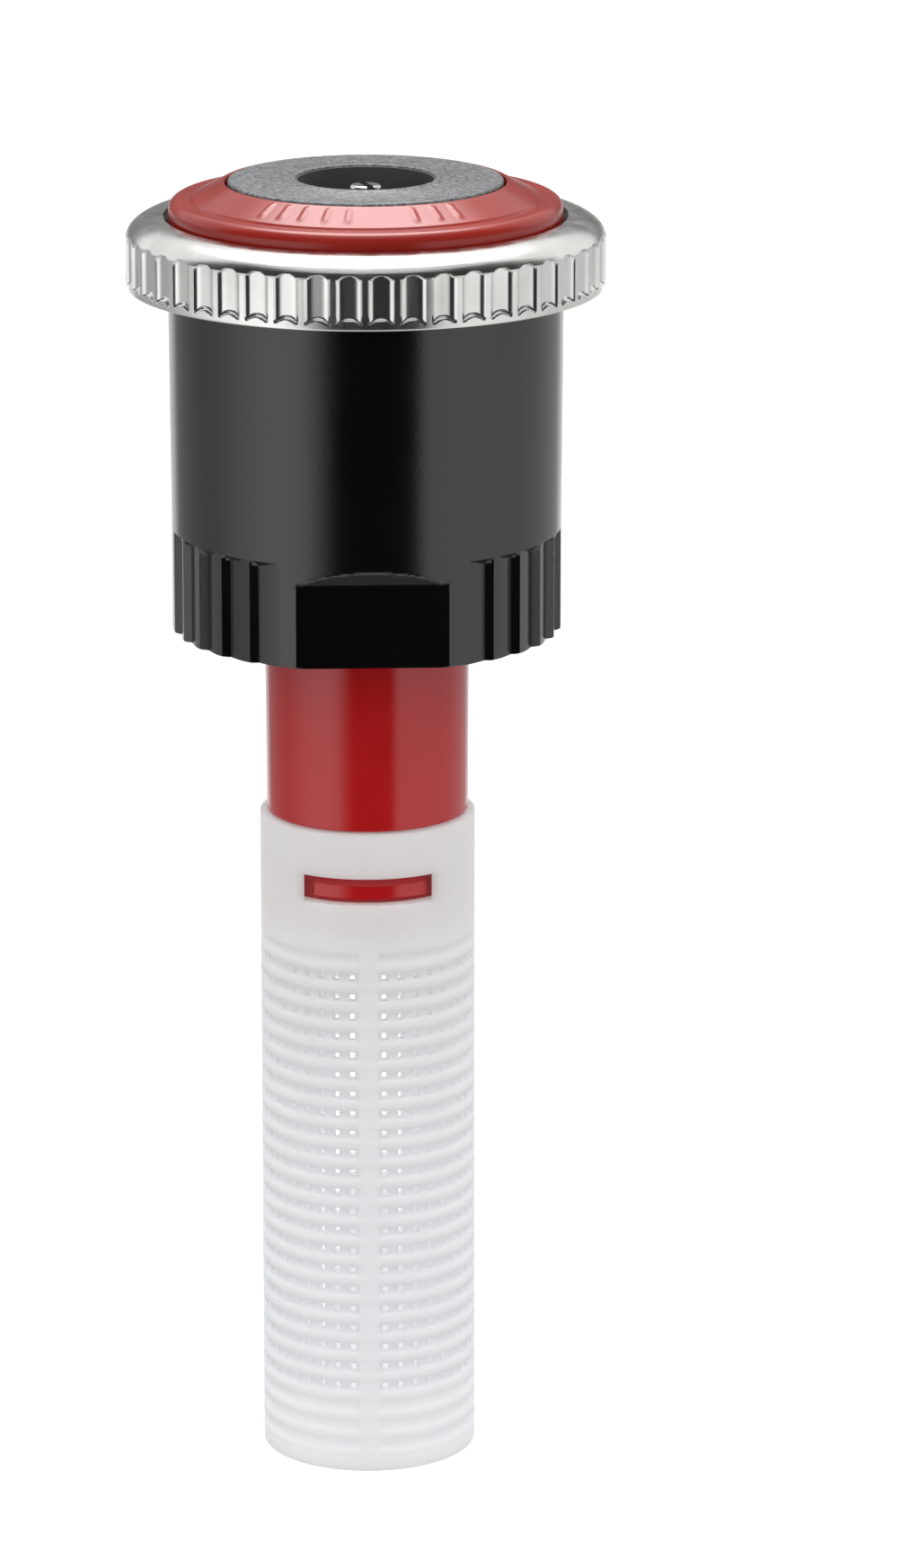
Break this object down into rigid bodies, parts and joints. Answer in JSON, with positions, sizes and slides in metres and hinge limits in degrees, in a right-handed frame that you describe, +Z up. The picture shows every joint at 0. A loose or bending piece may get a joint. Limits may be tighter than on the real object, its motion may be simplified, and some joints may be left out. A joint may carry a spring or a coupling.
{
  "type": "pop up sprinkler rotating nozzle",
  "caption": "Rotating multi-stream nozzle that screws on a pop-up sprinkler's riser, with arc ring, radius screw, spring-return rotor and pull-off filter basket.",
  "frame": {"origin": "centre of the body's bottom rim, where the riser's thread enters", "axes": "+Z up along the riser's axis, towards the rotor; -Y is the front, normal to one wrench flat and one filter window"},
  "size_m": [0.0294, 0.0294, 0.0812],
  "materials": {
    "body_black": "satin moulded",
    "stem_red": "satin moulded",
    "rotor_red": "satin moulded",
    "filter_white": "satin moulded, slightly translucent",
    "cap_grey": "fine speckled grain",
    "ring_steel": "polished with drawn flutes",
    "shaft_steel": "turned",
    "spring_steel": "drawn wire",
    "inner_black": "moulded",
    "seal_rubber": "matt",
    "bearing_plastic": "moulded"
  },
  "bodies": {
    "base": {"nozzle_body": "body_black", "inlet_stem": "stem_red", "valve_hub": "inner_black", "orifice_sleeve": "inner_black", "riser_gasket": "seal_rubber", "stem_o_ring": "seal_rubber", "return_spring": "spring_steel"},
    "filter": {"filter_basket": "filter_white"},
    "arc_ring": {"adjustment_ring": "ring_steel", "ring_carrier": "inner_black", "ring_wiper_seal": "seal_rubber"},
    "pop_up_carriage": {"spring_washer": "shaft_steel"},
    "rotor": {"rotor_plate": "rotor_red", "rotor_cap": "cap_grey", "chamber_plug": "inner_black", "upper_bearing": "bearing_plastic", "upper_seal": "seal_rubber", "lower_bearing": "bearing_plastic", "lower_seal": "seal_rubber"},
    "shaft": {"radius_screw": "shaft_steel", "brake_stator": "bearing_plastic", "shaft_clip": "spring_steel"},
    "throttle": {"throttle_nut": "inner_black"}
  },
  "joints": [
    {"name": "filter_pull", "type": "slide", "parent": "base", "child": "filter", "axis": [0, 0, 1], "range_m": [-0.012, 0]},
    {"name": "arc_adjust", "type": "hinge", "parent": "base", "child": "arc_ring", "pos_m": [0, 0, 0.0235], "axis": [0, 0, 1], "range_deg": [0, 120]},
    {"name": "pop_up", "type": "slide", "parent": "base", "child": "pop_up_carriage", "axis": [0, 0, 1], "range_m": [0, 0.005], "stiffness_N_per_m": 500, "springref_m": -0.004, "deforming": ["return_spring"]},
    {"name": "rotor_spin", "type": "hinge", "parent": "pop_up_carriage", "child": "rotor", "pos_m": [0, 0, 0.02], "axis": [0, 0, 1], "continuous": true},
    {"name": "radius_screw_turn", "type": "hinge", "parent": "pop_up_carriage", "child": "shaft", "pos_m": [0, 0, 0.0276], "axis": [0, 0, 1], "range_deg": [0, 1080]},
    {"name": "throttle_travel", "type": "slide", "parent": "pop_up_carriage", "child": "throttle", "axis": [0, 0, 1], "range_m": [0, 0.0024]}
  ],
  "couplings": [
    {"joint": "radius_screw_turn", "follows": "throttle_travel", "rad_per_m": 7854}
  ]
}
